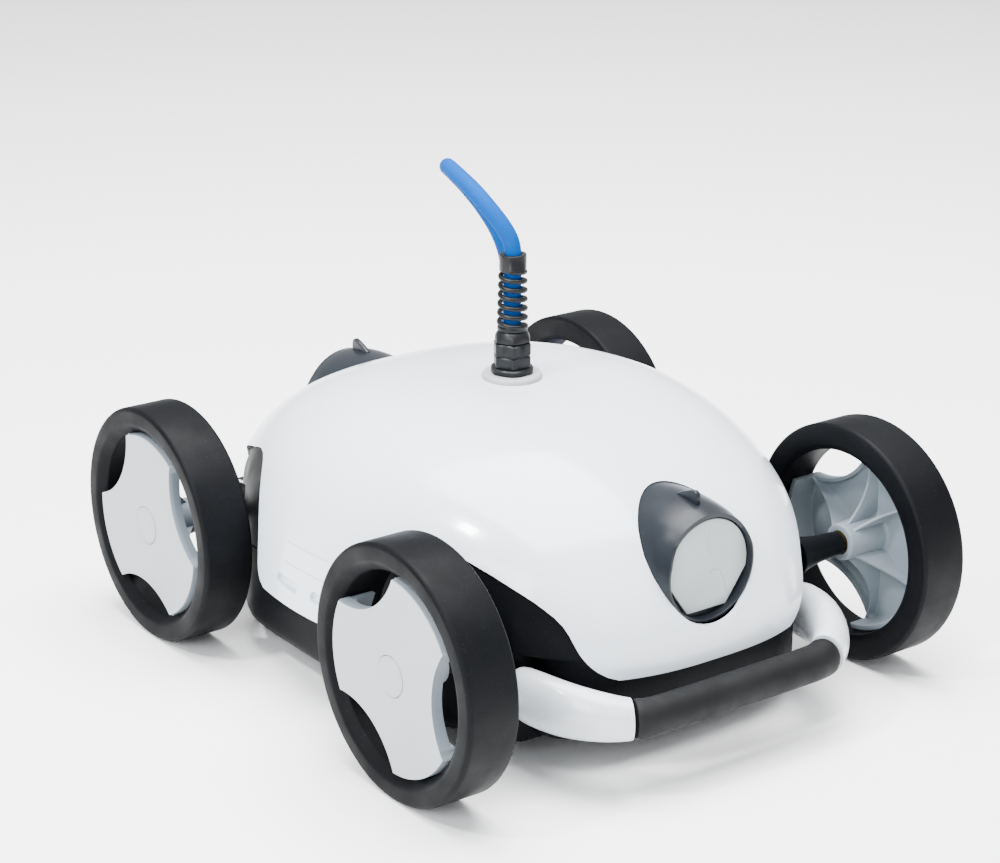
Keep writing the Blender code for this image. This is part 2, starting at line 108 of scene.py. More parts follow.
def moulded(name, colour, shade, rough, patch=9.0, grain=900.0, depth=0.00004, coat=0.0, metallic=0.0,
            glint=0.5):
    """A finish that drifts from colour to shade, with a roughness range and a fine grain."""
    made = bpy.data.materials.new(name)
    made.use_nodes = True
    tree = made.node_tree
    shader = tree.nodes["Principled BSDF"]
    place = node(tree, "ShaderNodeTexCoord").outputs["Object"]
    mix = node(tree, "ShaderNodeMix", {"Factor": drift(tree, place, patch, 0.0, 1.0)}, data_type="RGBA")
    mix.inputs["A"].default_value = (*colour, 1)
    mix.inputs["B"].default_value = (*shade, 1)
    tree.links.new(mix.outputs["Result"], shader.inputs["Base Color"])
    tree.links.new(drift(tree, place, patch * 3, rough[0], rough[1]), shader.inputs["Roughness"])
    fine = node(tree, "ShaderNodeTexNoise", {"Vector": place, "Scale": grain, "Detail": 2.0})
    raised = node(tree, "ShaderNodeBump", {"Height": fine.outputs["Fac"], "Distance": depth,
                                           "Strength": 0.6})
    tree.links.new(raised.outputs["Normal"], shader.inputs["Normal"])
    shader.inputs["Metallic"].default_value = metallic
    shader.inputs["Specular IOR Level"].default_value = glint
    shader.inputs["Coat Weight"].default_value = coat
    shader.inputs["Coat Roughness"].default_value = 0.06
    return made


def add_specks(made, colour, scale, size, amount):
    """Small dried drops or dust, scattered by a cell pattern, laid over a finish."""
    tree = made.node_tree
    shader = tree.nodes["Principled BSDF"]
    place = node(tree, "ShaderNodeTexCoord").outputs["Object"]
    cells = node(tree, "ShaderNodeTexVoronoi", {"Vector": place, "Scale": scale})
    dot = node(tree, "ShaderNodeMapRange", {"Value": cells.outputs["Distance"], "From Min": size * 0.6,
                                            "From Max": size, "To Min": amount, "To Max": 0.0})
    where = drift(tree, place, scale * 0.11, 0.0, 1.0)
    share = node(tree, "ShaderNodeMath", {0: dot.outputs[0], 1: where}, operation="MULTIPLY")
    mix = node(tree, "ShaderNodeMix", {"Factor": share.outputs[0]}, data_type="RGBA")
    before = shader.inputs["Base Color"].links[0].from_socket
    tree.links.new(before, mix.inputs["A"])
    mix.inputs["B"].default_value = (*colour, 1)
    tree.links.new(mix.outputs["Result"], shader.inputs["Base Color"])
    return made


print("finish helpers ready")

# %% [markdown]
# The shell is white ABS with a clear gloss. The chassis, hoods and gland are dark
# moulded plastics, each a little different. Tyres and grips are rubber, which is
# rougher and shows dried drops. The cable jacket is a bright floating foam.

# %% Make the finishes
FINISH = {
    "shell": moulded("gloss_white_shell", (0.60, 0.655, 0.72), (0.65, 0.70, 0.755), (0.16, 0.27), 6, 1500,
                     0.00001, coat=0.35),
    # The bumper ends are the shell's white plastic, painted darker and bluer than the shell: painted shade.
    "bumper": moulded("white_bumper_painted_shade", (0.44, 0.48, 0.52), (0.58, 0.615, 0.65), (0.18, 0.34), 14, 1200,
                      0.00002, coat=0.3),
    "hub": moulded("pale_grey_hub", (0.31, 0.33, 0.34), (0.36, 0.38, 0.39), (0.36, 0.50), 12, 1400, 0.00003,
                   glint=0.35),
    # A darker, bluer copy of the hub grey for the hub's inner faces: painted shade.
    "hub_back": moulded("shaded_hub_back", (0.165, 0.20, 0.23), (0.215, 0.25, 0.28), (0.40, 0.55), 12,
                        1400, 0.00003, glint=0.3),
    "flap": moulded("pale_grey_flap", (0.29, 0.325, 0.32), (0.335, 0.37, 0.365), (0.30, 0.42), 16, 1400,
                    0.00002, glint=0.35),
    "hood": moulded("charcoal_hood", (0.0075, 0.0095, 0.0130), (0.0105, 0.0130, 0.0170), (0.26, 0.36), 18,
                    1500, 0.00002, glint=0.22),
    "chassis": moulded("black_chassis", (0.0016, 0.0019, 0.0026), (0.0030, 0.0035, 0.0045), (0.38, 0.54),
                       10, 1100, 0.00004, glint=0.06),
    "gland": moulded("black_nylon_gland", (0.0030, 0.0033, 0.0040), (0.0055, 0.0060, 0.0070), (0.30, 0.46),
                     40, 2200, 0.00003, glint=0.22),
    "tyre": moulded("black_tyre_rubber", (0.0009, 0.0011, 0.0017), (0.0020, 0.0024, 0.0033), (0.46, 0.64),
                    16, 1600, 0.00005, glint=0.08),
    "grip": moulded("soft_grip_rubber", (0.0030, 0.0032, 0.0036), (0.0055, 0.0058, 0.0064), (0.55, 0.72),
                    30, 2200, 0.00008, glint=0.14),
    "cable": moulded("blue_cable_jacket", (0.000, 0.048, 0.22), (0.000, 0.058, 0.26), (0.50, 0.62), 20,
                     1800, 0.00003, glint=0.02),
    "propeller": moulded("blue_propeller", (0.02, 0.09, 0.30), (0.03, 0.12, 0.36), (0.34, 0.5), 20, 1200,
                         0.00003),
    "foam": moulded("cream_float_foam", (0.52, 0.51, 0.45), (0.62, 0.61, 0.54), (0.80, 0.95), 30, 500,
                    0.0004, glint=0.2),
    "steel": moulded("ground_steel", (0.45, 0.45, 0.47), (0.56, 0.56, 0.58), (0.22, 0.38), 60, 2600,
                     0.00002, metallic=1.0),
    "brass": moulded("turned_brass", (0.52, 0.36, 0.13), (0.62, 0.44, 0.18), (0.26, 0.42), 60, 2600,
                     0.00002, metallic=1.0),
    "mesh": moulded("white_filter_mesh", (0.50, 0.53, 0.54), (0.60, 0.62, 0.64), (0.5, 0.7), 30, 800,
                    0.0003, glint=0.3),
}
add_specks(FINISH["tyre"], (0.06, 0.065, 0.075), 520, 0.13, 0.5)
add_specks(FINISH["chassis"], (0.045, 0.05, 0.06), 300, 0.12, 0.35)
add_specks(FINISH["hood"], (0.12, 0.13, 0.15), 260, 0.08, 0.30)
add_specks(FINISH["shell"], (0.50, 0.53, 0.58), 75, 0.04, 0.25)
print(len(FINISH), "finishes")

# %% [markdown]
# ## Making meshes
# Most hard parts of this machine are turned, lofted or pushed out. These helpers do
# that at full smoothness and always leave a closed mesh that faces outwards. Corners
# are rounded in the profile itself, because a moulded edge is never knife sharp.


# %% Mesh helpers
def piece_from(name, bm, finish, angle=35):
    """A piece at the origin from a bmesh, with doubles merged and normals outwards."""
    bmesh.ops.remove_doubles(bm, verts=bm.verts, dist=2e-6)
    bmesh.ops.recalc_face_normals(bm, faces=bm.faces)
    mesh = bpy.data.meshes.new(name)
    bm.to_mesh(mesh)
    bm.free()
    mesh.materials.append(FINISH[finish])
    mesh.shade_smooth()
    mesh.set_sharp_from_angle(angle=math.radians(angle))
    made = bpy.data.objects.new(name, mesh)
    bpy.context.scene.collection.objects.link(made)
    return made


def piece(name, points, faces, finish, angle=35):
    bm = bmesh.new()
    verts = [bm.verts.new(Vector(p) * MM) for p in points]
    for face in faces:
        bm.faces.new([verts[i] for i in face])
    return piece_from(name, bm, finish, angle)


def rounded(loop, radius, steps=3):
    """The closed loop with every corner eased by about the radius; a list gives one each."""
    radii = radius if isinstance(radius, list) else [radius] * len(loop)
    out = []
    for i, corner in enumerate(loop):
        middle = Vector(corner)
        to_last = Vector(loop[i - 1]) - middle
        to_next = Vector(loop[(i + 1) % len(loop)]) - middle
        cut = min(radii[i], 0.48 * to_last.length, 0.48 * to_next.length)
        if cut < 0.02:
            out.append(tuple(corner))
            continue
        start = middle + to_last.normalized() * cut
        end = middle + to_next.normalized() * cut
        for k in range(steps + 1):
            t = k / steps
            out.append(tuple((1 - t) ** 2 * start + 2 * t * (1 - t) * middle + t * t * end))
    return out


def around(axis, radius, height, angle, centre):
    u, v = radius * math.cos(angle), radius * math.sin(angle)
    if axis == "X":
        return (height, centre[1] + u, centre[2] + v)
    if axis == "Y":
        return (centre[0] + u, height, centre[2] + v)
    return (centre[0] + u, centre[1] + v, height)


def turned(name, profile, axis, centre, finish, segments=96, angle=35, phase=0.0):
    """A closed (radius, height) profile turned round an axis, all in millimetres."""
    points, faces = [], []
    count = len(profile)
    for s in range(segments):
        points += [around(axis, r, h, 2 * math.pi * s / segments + phase, centre) for r, h in profile]
        here, after = s * count, ((s + 1) % segments) * count
        faces += [(here + i, here + (i + 1) % count, after + (i + 1) % count,
                   after + i) for i in range(count)]
    return piece(name, points, faces, finish, angle)


def lofted(name, rings, finish, angle=35):
    """A closed skin through rings of points, with a flat face at each end."""
    count = len(rings[0])
    points = [p for ring in rings for p in ring]
    faces = [tuple(range(count)), tuple(range((len(rings) - 1) * count, len(rings) * count))]
    for r in range(len(rings) - 1):
        low = r * count
        faces += [(low + i, low + (i + 1) % count, low + count + (i + 1) % count, low + count + i)
                  for i in range(count)]
    return piece(name, points, faces, finish, angle)


def pushed(name, outline, axis, low, high, finish, angle=35):
    """An outline pushed along an axis from low to high."""
    def place(u, v, h):
        return {"X": (h, u, v), "Y": (u, h, v), "Z": (u, v, h)}[axis]

    return lofted(name, [[place(u, v, h) for u, v in outline] for h in (low, high)], finish, angle)


def settle(made, angle=35):
    """Applies a piece's modifiers and shades it again."""
    graph = bpy.context.evaluated_depsgraph_get()
    mesh = bpy.data.meshes.new_from_object(made.evaluated_get(graph), depsgraph=graph)
    made.modifiers.clear()
    made.data = mesh
    mesh.shade_smooth()
    mesh.set_sharp_from_angle(angle=math.radians(angle))
    return made


def combined(made, others, operation="DIFFERENCE", angle=35):
    """Cuts the other meshes from a piece, or joins them to it, and removes them."""
    for other in others:
        step = made.modifiers.new(other.name, "BOOLEAN")
        step.operation = operation
        step.solver = "EXACT"
        step.object = other
    settle(made, angle)
    for other in others:
        bpy.data.objects.remove(other, do_unlink=True)
    return made


def softened(made, width, segments=2, limit=40, angle=35):
    """Rounds a piece's sharp edges by a width in millimetres."""
    step = made.modifiers.new("soft_edges", "BEVEL")
    step.width = width * MM
    step.segments = segments
    step.limit_method = "ANGLE"
    step.angle_limit = math.radians(limit)
    return settle(made, angle)


def stands_for(made, body, slot, *nodes):
    """Rides a piece on a body and hides what it replaces; the slot argument is not used."""
    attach(made, body)
    if nodes:
        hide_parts(*nodes)
    return made


ENDS = (("front", -1), ("rear", 1))
SIDES = (("left", -1), ("right", 1))
print("mesh helpers ready")

# %% [markdown]
# ## The floating cable
# The cable leaves the gland straight up, arches over the back of the machine and runs
# down to the floor, where the rest of it is wound into a coil behind the right rear
# wheel. Such a cable is usually 30 feet long, which is 9.15 m, and 10.5 mm thick. The
# route drawn here measures 8.70 m. It is one smooth curve with no corner in it, and
# its tightest bend has a radius of 39 mm.

# %% Route of the cable
CABLE_ROUTE = [
    (0, 0, 205.6), (0, 0, 222), (0, 0, 238), (0, 0, 252),
    (-0.8, 1.2, 260), (-3, 4.2, 267), (-5.4, 8.5, 273), (-7.5, 13.8, 278.4),
    (-9, 21.5, 284), (-9.6, 31, 288.8), (-9, 41.5, 292), (-6, 54, 293.6),
    (-0.5, 66.5, 292.8), (9, 79.5, 288.5), (23, 91.5, 279.5), (40.5, 101.5, 265.5),
    (60, 109.5, 246), (77.5, 118, 224.5), (92.5, 129, 200), (104.5, 142, 172.5),
    (113, 157, 144), (117.5, 174.5, 115), (118.5, 195, 87.5), (116.8, 216, 62),
    (113, 235.5, 39.5), (108.3, 252, 21.5), (104, 264.5, 10.5), (101.5, 278, 6.0), (101.5, 298, 5.6),
]
COIL_CENTRE = (208, 324)
CABLE_DIAMETER = 10.5
COIL_STEPS = 18


def coil_points():
    """Three layers wound outside in, inside out and outside in, then up to the connector."""
    low, wide, narrow = 5.55, 106.5, 48.75
    out_again = 101.25
    stages = [(5.5, wide, narrow, low, low), (1, narrow, narrow, low, low + CABLE_DIAMETER),
              (5, narrow, out_again, low + CABLE_DIAMETER, low + CABLE_DIAMETER),
              (1, out_again, out_again, low + CABLE_DIAMETER, low + 2 * CABLE_DIAMETER),
              (4, out_again, 59.25, low + 2 * CABLE_DIAMETER, low + 2 * CABLE_DIAMETER),
              (0.25, 59.25, 56, low + 2 * CABLE_DIAMETER, 44.1)]
    points, turn = [], 0.5
    for turns, r0, r1, z0, z1 in stages:
        steps = round(turns * COIL_STEPS)
        for k in range(steps):
            f = k / steps
            r, z = r0 + (r1 - r0) * f, z0 + (z1 - z0) * (3 * f * f - 2 * f ** 3)
            if turns == 1:
                # Where it climbs a layer the cable leans away from the turn beside it
                lean = 3.2 * math.sin(math.pi * f) ** 2
                r += lean if r0 > 75 else -lean
            angle = 2 * math.pi * (turn - turns * f)
            points.append((COIL_CENTRE[0] + r * math.cos(angle), COIL_CENTRE[1] + r * math.sin(angle), z))
        turn -= turns
    return points


route = CABLE_ROUTE + coil_points() + [(COIL_CENTRE[0], 268, 44.1), (202, 268, 44.1), (196, 268, 44.1)]
print(len(CABLE_ROUTE), "points before the coil and", len(route), "in all")

# %% Cable as one curve
line = bpy.data.curves.new("floating_cable", "CURVE")
line.dimensions = "3D"
line.bevel_depth = CABLE_DIAMETER / 2 * MM
line.bevel_resolution = 4
line.resolution_u = 4
line.use_fill_caps = True
spline = line.splines.new("BEZIER")
spline.bezier_points.add(len(route) - 1)
for knot, spot in zip(spline.bezier_points, route):
    knot.co = Vector(spot) * MM
    knot.handle_left_type = knot.handle_right_type = "AUTO"
line.materials.append(FINISH["cable"])
cable = bpy.data.objects.new("floating_cable", line)
bpy.context.scene.collection.objects.link(cable)
stands_for(cable, "chassis", "cable_blue", "cable_tube", "cable_coil")
print("cable length in metres: %.2f" % sum(s.calc_length() for s in line.splines))

# %% [markdown]
# ## Repeating with Geometry Nodes
# Ridges on a nut, webs in a wheel and slots in a mesh are one shape many times over.
# A small node tree puts copies of a template round an axis. Its inputs are named, so
# the same tree serves every ring on the machine, and it ends by turning the copies
# into real mesh and giving them their material.


# %% A tree that repeats a template round an axis
def new_tree(name, sockets):
    tree = bpy.data.node_groups.new(name, "GeometryNodeTree")
    tree.interface.new_socket("Geometry", in_out="OUTPUT", socket_type="NodeSocketGeometry")
    for label, kind in sockets:
        tree.interface.new_socket(label, in_out="INPUT", socket_type=kind)
    return tree, tree.nodes.new("NodeGroupInput").outputs


def end_tree(tree, geometry, material):
    """Every tree ends in real mesh with its material set."""
    real = node(tree, "GeometryNodeRealizeInstances", {"Geometry": geometry})
    dressed = node(tree, "GeometryNodeSetMaterial", {"Geometry": real.outputs[0], "Material": material})
    out = tree.nodes.new("NodeGroupOutput")
    tree.links.new(dressed.outputs[0], out.inputs["Geometry"])


def grown(name, tree, values, angle=35):
    """Runs a tree with its inputs set by identifier and returns the result as a plain mesh."""
    made = bpy.data.objects.new(name, bpy.data.meshes.new(name))
    bpy.context.scene.collection.objects.link(made)
    step = made.modifiers.new(name, "NODES")
    step.node_group = tree
    for item in tree.interface.items_tree:
        if item.item_type == "SOCKET" and item.in_out == "INPUT":
            step[item.identifier] = values[item.name]
    bpy.context.view_layer.update()
    graph = bpy.context.evaluated_depsgraph_get()
    mesh = bpy.data.meshes.new_from_object(made.evaluated_get(graph), depsgraph=graph)
    made.modifiers.clear()
    bm = bmesh.new()
    bm.from_mesh(mesh)
    bmesh.ops.remove_doubles(bm, verts=bm.verts, dist=2e-6)
    bmesh.ops.recalc_face_normals(bm, faces=bm.faces)
    bm.to_mesh(mesh)
    bm.free()
    made.data = mesh
    mesh.shade_smooth()
    mesh.set_sharp_from_angle(angle=math.radians(angle))
    return made


ring_tree, given = new_tree("repeat_round_axis", [
    ("Template", "NodeSocketObject"), ("Count", "NodeSocketInt"), ("First Angle", "NodeSocketFloat"),
    ("Axis", "NodeSocketVector"), ("Centre", "NodeSocketVector"), ("Material", "NodeSocketMaterial")])
spots = node(ring_tree, "GeometryNodePoints", {"Count": given["Count"], "Position": given["Centre"]})
index = node(ring_tree, "GeometryNodeInputIndex").outputs[0]
share = node(ring_tree, "ShaderNodeMath", {0: index, 1: given["Count"]}, operation="DIVIDE").outputs[0]
turn = node(ring_tree, "ShaderNodeMath", {0: share, 1: 2 * math.pi, 2: given["First Angle"]},
            operation="MULTIPLY_ADD").outputs[0]
spin = node(ring_tree, "ShaderNodeVectorMath", {0: given["Axis"], "Scale": turn},
            operation="SCALE").outputs[0]
template = node(ring_tree, "GeometryNodeObjectInfo", {"Object": given["Template"]}).outputs["Geometry"]
copies = node(ring_tree, "GeometryNodeInstanceOnPoints",
              {"Points": spots.outputs[0], "Instance": template, "Rotation": spin})
end_tree(ring_tree, copies.outputs[0], given["Material"])
print("ring tree has", len(ring_tree.nodes), "nodes")


# %% A call for the ring tree
AXES = {"X": (1, 0, 0), "Y": (0, 1, 0), "Z": (0, 0, 1)}


def ring_of(name, template, count, degrees, axis, centre, finish):
    """Copies of a template, drawn about the world origin, round an axis through centre in millimetres."""
    made = grown(name, ring_tree, {
        "Template": template, "Count": count, "First Angle": math.radians(degrees), "Axis": AXES[axis],
        "Centre": tuple(v * MM for v in centre), "Material": FINISH[finish]})
    bpy.data.objects.remove(template, do_unlink=True)
    return made


print("ring_of ready")

# %% [markdown]
# The connector at the far end of the cable screws onto the power supply, so it has a
# ridged ring nut that wet fingers can turn. It lies on the near side of the coil.

# %% Connector
plug_axis = (0, 268, 44.1)
plug_line = [(5.4, 200), (8, 200), (10, 192), (10, 166), (11.3, 164), (11.3, 144), (9.5, 144), (9.5, 152),
             (5.4, 152)]
connector = turned("cable_plug", rounded(plug_line, 0.7), "X", plug_axis, "gland", 64)
ridge = pushed("ridge", rounded([(10.8, -0.8), (11.9, -0.5), (11.9, 0.5), (10.8, 0.8)], 0.2, 2), "X",
               145.5, 162.5, "gland")
ridges = ring_of("plug_ridges", ridge, 22, 0, "X", plug_axis, "gland")
combined(connector, [ridges], "UNION")
pins = turned("plug_pins", rounded([(0.5, 148.5), (2.2, 148.5), (2.2, 153), (0.5, 153)], 0.3), "X",
              (0, 268, 44.1), "steel", 24)
stands_for(connector, "chassis", "chassis_black", "cable_connector")
stands_for(pins, "chassis", "shaft_steel")
print("connector faces", len(connector.data.polygons))

# %% [markdown]
# ## The domed shell
# The shell is one white moulding whose plan is a rounded superellipse that shrinks
# towards the crown by a second power law. A shape that follows a rule is best grown
# from that rule, so a node tree bends a flat grid into the dome. The same tree, asked
# for a slightly smaller dome, makes the cutter that limits how deep the slots go.

# %% A tree for the dome
dome_tree, given = new_tree("superellipse_dome", [
    ("Half Width", "NodeSocketFloat"), ("Half Length", "NodeSocketFloat"), ("Rise", "NodeSocketFloat"),
    ("Base Height", "NodeSocketFloat"), ("Skirt", "NodeSocketFloat"), ("Width Power", "NodeSocketFloat"),
    ("Length Power", "NodeSocketFloat"), ("Rise Power", "NodeSocketFloat"), ("Columns", "NodeSocketInt"),
    ("Rows", "NodeSocketInt"), ("Material", "NodeSocketMaterial")])


def calc(operation, a, b=0.0, c=0.0):
    return node(dome_tree, "ShaderNodeMath", {0: a, 1: b, 2: c}, operation=operation).outputs[0]


grid = node(dome_tree, "GeometryNodeMeshGrid", {"Size X": 1.0, "Size Y": 1.0,
                                                "Vertices X": given["Columns"],
                                                "Vertices Y": given["Rows"]})
flat = node(dome_tree, "ShaderNodeSeparateXYZ",
            {0: node(dome_tree, "GeometryNodeInputPosition").outputs[0]}).outputs
bearing = calc("MULTIPLY", calc("ADD", flat[0], 0.5), 2 * math.pi)
skirt_angle = calc("DIVIDE", given["Skirt"], given["Rise"])
lift = calc("SUBTRACT", calc("MULTIPLY", calc("ADD", flat[1], 0.5), calc("ADD", skirt_angle, math.pi / 2)),
            skirt_angle)
height = calc("MULTIPLY_ADD", calc("SINE", lift), given["Rise"], given["Base Height"])
across = calc("COSINE", calc("MAXIMUM", lift, 0.0))
room = calc("POWER", calc("MULTIPLY", across, across), calc("DIVIDE", 1.0, given["Rise Power"]))


def reach(wave, half, power):
    """Half a side, shrunk for the height, along a superellipse of that power."""
    size = calc("MULTIPLY", calc("POWER", room, calc("DIVIDE", 1.0, power)), half)
    bent = calc("POWER", calc("ABSOLUTE", wave), calc("DIVIDE", 2.0, power))
    return calc("MULTIPLY", calc("MULTIPLY", bent, calc("SIGN", wave)), size)


place = node(dome_tree, "ShaderNodeCombineXYZ", {
    0: reach(calc("COSINE", bearing), given["Half Width"], given["Width Power"]),
    1: reach(calc("SINE", bearing), given["Half Length"], given["Length Power"]), 2: height}).outputs[0]
bent = node(dome_tree, "GeometryNodeSetPosition", {"Geometry": grid.outputs["Mesh"], "Position": place})
closed = node(dome_tree, "GeometryNodeMergeByDistance", {"Geometry": bent.outputs[0], "Distance": 2e-5})
end_tree(dome_tree, closed.outputs[0], given["Material"])
print("dome tree has", len(dome_tree.nodes), "nodes")


# %% Grow the dome and give it a wall
def dome(name, inset, finish, columns=193, rows=64):
    made = grown(name, dome_tree, {
        "Half Width": (160 - inset) * MM, "Half Length": (197 - inset) * MM, "Rise": (112 - inset) * MM,
        "Base Height": 63 * MM, "Skirt": 3 * MM, "Width Power": 2.7, "Length Power": 1.83,
        "Rise Power": 1.38, "Columns": columns, "Rows": rows, "Material": FINISH[finish]}, 60)
    return made


def lidded(made):
    """Closes the open foot of a dome, so it can be used as a solid."""
    bm = bmesh.new()
    bm.from_mesh(made.data)
    bmesh.ops.holes_fill(bm, edges=[e for e in bm.edges if e.is_boundary])
    bmesh.ops.recalc_face_normals(bm, faces=bm.faces)
    bm.to_mesh(made.data)
    bm.free()
    return made


shell = lidded(dome("shell_skin", 0, "shell"))
inside = lidded(dome("shell_inside", 2.8, "shell", 129, 40))
for vert in inside.data.vertices:
    if vert.co.z < 0.061:
        vert.co.z -= 0.002
print("dome has", len(shell.data.polygons), "faces")

# %% [markdown]
# Two arches let the wheels in, each cut straight across the shell, and the nozzle
# hoods push out through egg-shaped openings. On each side there are two shallow slots
# and two fine moulded lines above them.

# %% Cut arches, nozzle openings and slots
ARCH = [
    (30, 40), (34.6, 58.6), (40.5, 60.6), (44.6, 63.2), (47, 67.5), (48.1, 73), (48.7, 79), (50.4, 87),
    (53, 94), (56.8, 101.5), (61.8, 108.5), (67.4, 115.2), (73.4, 120.8), (79, 124.8), (85, 126.9),
    (93, 127), (100, 125.3), (107, 122.9), (115, 120.4), (123, 117.7), (131.5, 114.6), (140, 110.8),
    (147, 107.4), (153.5, 103.8), (158.5, 100.4), (163.5, 96.5), (168, 91.8), (171.3, 86.8), (174, 81.5),
    (176.6, 76), (179.2, 71), (182, 66.4), (185, 62.4), (187.5, 60.2), (189, 55), (190, 40),
]
HOOD_LINE = [(36.5, 128), (36.5, 160), (35.6, 171), (33.6, 180), (31.2, 186.3)]
cutters = [inside]
for end, sign in ENDS:
    outline = [(sign * y, z) for y, z in ARCH]
    cutters.append(pushed("arch_" + end, outline, "X", -200, 200, "shell"))
    grow = [(0.0, sign * 110), (37.2, sign * 110)] + [(r + 0.5, sign * y) for r, y in HOOD_LINE]
    grow += [(31.6, sign * 210), (0.0, sign * 210)]
    cutters.append(turned("hood_hole_" + end, grow, "Y", (0, 0, 112), "shell", 96))
cutters.append(turned("gland_hole", [(0, 150), (8.6, 150), (8.6, 190), (0, 190)], "Z", (0, 0, 0), "shell",
                      48))


def stadium(y0, y1, z0, z1, tilt=0.0):
    """A slot outline with round ends; tilt raises one end."""
    radius = (z1 - z0) / 2
    points = []
    for k in range(9):
        a = math.radians(-90 + 22.5 * k)
        points.append((y1 - radius + radius * math.cos(a), z0 + radius + radius * math.sin(a) + tilt))
    for k in range(9):
        a = math.radians(90 + 22.5 * k)
        points.append((y0 + radius + radius * math.cos(a), z0 + radius + radius * math.sin(a)))
    return points


for side, sign in SIDES:
    reach_in = sorted((sign * 120, sign * 200))
    outlines = [(-3.5, 20.5, 70.6, 78.2), (-40.5, -16.5, 70.6, 78.2)]
    for k, (y0, y1, z0, z1) in enumerate(outlines):
        slot = pushed("slot_%s_%d" % (side, k), stadium(y0, y1, z0, z1), "X", *reach_in, "shell")
        combined(slot, [lidded(dome("slot_floor", 2.5, "shell", 97, 32))])
        cutters.append(slot)
    for k, z in enumerate((86.5, 98.5)):
        rule = pushed("rule_%s_%d" % (side, k), stadium(-28, 13, z, z + 0.9), "X", *reach_in, "shell")
        combined(rule, [lidded(dome("rule_floor", 0.4, "shell", 97, 32))])
        cutters.append(rule)
combined(shell, cutters, angle=32)
stands_for(shell, "chassis", "shell_white", "top_shell")
print("shell has", len(shell.data.polygons), "faces")

# %% [markdown]
# ## Nozzle hoods and outlet flaps
# Each hood is a blunt charcoal cone that swivels to steer the jet, with a little
# pointer fin on top. Its mouth holds a thin flap, hung from the top, that the water
# pushes open. The flap is a disc whose foot is cut to three straight edges. The lip
# of the hood stands proud at the foot and is cut back at the top, where the flap swings.
# The shell's opening was drawn for a shorter lip, so there the hood still overlaps the
# shell by 0.6 mm. The cure is to carry HOOD_LINE out along the hood's own profile.

# %% Hoods
for end, sign in ENDS:
    body = "nozzle_" + end
    outer = [(36.5, 128), (36.5, 158), (35.9, 168), (34.6, 177), (32.8, 184), (31.6, 189.6)]
    inner = [(30.1, 189.6), (29.5, 183.1), (25.2, 183.1), (33, 166), (33, 128)]
    line = rounded(outer + inner, [0.5, 6, 6, 6, 3, 0.8, 0.4, 0.1, 0.4, 4, 0.4], 4)
    hood = turned("hood_skin_" + end, [(r, sign * y) for r, y in line], "Y", (0, 0, 112), "hood", 128)
    fin = [(158, 146), (158.5, 148.8), (163, 151.2), (169, 153.6), (173.6, 154.6), (175.6, 153.4),
           (176.4, 150.2), (175.6, 144), (158, 143)]
    fin = rounded([(sign * y, z) for y, z in fin], 0.8, 3)
    pointer = softened(pushed("pointer_" + end, fin, "X", -1.5, 1.5, "hood"), 0.45)
    combined(hood, [pointer], "UNION")
    brow = [(sign * y, z) for y, z in ((186.6, 160), (186.6, 131), (189.8, 118), (200, 118), (200, 160))]
    combined(hood, [pushed("brow_" + end, brow, "X", -45, 45, "hood")])
    stands_for(hood, body, "hood_grey", "nozzle_hood_" + end)
    print("hood", end, "faces", len(hood.data.polygons))

# %% [markdown]
# The flap carries a scored arch and a fine crease, which are cut here with thin tubes.
# A cut line holds up close to the eye, where a painted one would vanish.


# %% Flaps
def scored(name, points, radius):
    """A thin round bar along points, used to score a line."""
    bar = bpy.data.curves.new(name, "CURVE")
    bar.dimensions = "3D"
    bar.bevel_depth = radius * MM
    bar.bevel_resolution = 1
    bar.use_fill_caps = True
    run = bar.splines.new("POLY")
    run.points.add(len(points) - 1)
    for point, spot in zip(run.points, points):
        point.co = (*(Vector(spot) * MM), 1)
    made = bpy.data.objects.new(name, bar)
    bpy.context.scene.collection.objects.link(made)
    mesh = bpy.data.meshes.new_from_object(made)
    bpy.data.objects.remove(made, do_unlink=True)
    out = bpy.data.objects.new(name, mesh)
    bpy.context.scene.collection.objects.link(out)
    return out


for end, sign in ENDS:
    outline = []
    for k in range(61):
        a = math.radians(-10.5 + 201 * k / 60)
        outline.append((28.9 * math.cos(a), 112 + 28.9 * math.sin(a)))
    outline += [(-14.2, 86.6), (14.2, 86.6)]
    y0, y1 = sorted((sign * 183.6, sign * 186.0))
    flap = softened(pushed("flap_skin_" + end, outline, "Y", y0, y1, "flap"), 0.35, 2, 60)
    face = sign * 186.0
    arch = [(2.0, face, 108.6), (3.8, face, 109.6), (6.0, face, 109.8), (8.2, face, 108.9),
            (9.8, face, 107), (11.2, face, 104), (12.4, face, 100.5), (13.8, face, 96), (16, face, 89.5)]
    combined(flap, [scored("arch_line", arch, 0.28),
                    scored("crease", [(0, face, 137), (0.2, face, 119)], 0.16)])
    stands_for(flap, "outlet_" + end, "hub_grey", "outlet_flap_" + end)
    print("flap", end, "faces", len(flap.data.polygons))

# %% [markdown]
# ## Wheels
# A plain rubber tyre sits on a pale moulded hub. The hub's face is a disc with three
# round bites out of it, a wall stands along each bite, and on the inner side thin
# curved webs sweep down from the boss. Two webs are modelled, bent opposite ways, and
# the ring tree repeats each one three times. The webs go on before the bites are cut.

# %% Tyres, caps and axle arms
HUB_PHASES = {"front_left": 60, "rear_left": 84, "front_right": 64, "rear_right": 70}


def wheel_side(pairs, side_sign):
    return [(r, side_sign * x) for r, x in pairs]


